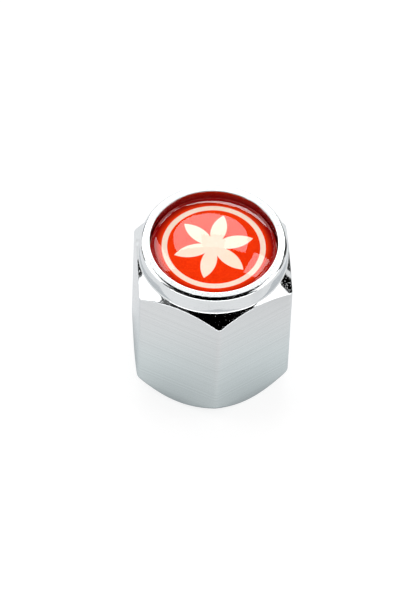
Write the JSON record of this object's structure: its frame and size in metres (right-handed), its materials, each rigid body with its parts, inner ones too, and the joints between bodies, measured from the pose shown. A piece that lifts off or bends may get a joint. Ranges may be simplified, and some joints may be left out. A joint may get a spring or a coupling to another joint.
{
  "type": "tyre valve cap",
  "caption": "Hexagonal chrome-plated tyre valve cap with a round collar, threaded bore, rubber seal and a printed disc under clear domed resin.",
  "frame": {"origin": "centre of the open end, on the plane that the cap stands on", "axes": "+Z along the bore axis towards the badge, +X square to a flat, a corner of the hexagon towards -Y"},
  "size_m": [0.011, 0.0126, 0.0128],
  "materials": {
    "chrome_plate": "chrome plating, fine turned and drawn lines",
    "seal_rubber": "matt moulded rubber",
    "badge_red": "orange-red printed film",
    "badge_cream": "cream print",
    "clear_resin": "clear glossy cast resin"
  },
  "bodies": {
    "root": {"body": "chrome_plate", "seal_washer": "seal_rubber", "badge_disc": "badge_red", "badge_print": "badge_cream", "resin_dome": "clear_resin"}
  },
  "joints": []
}
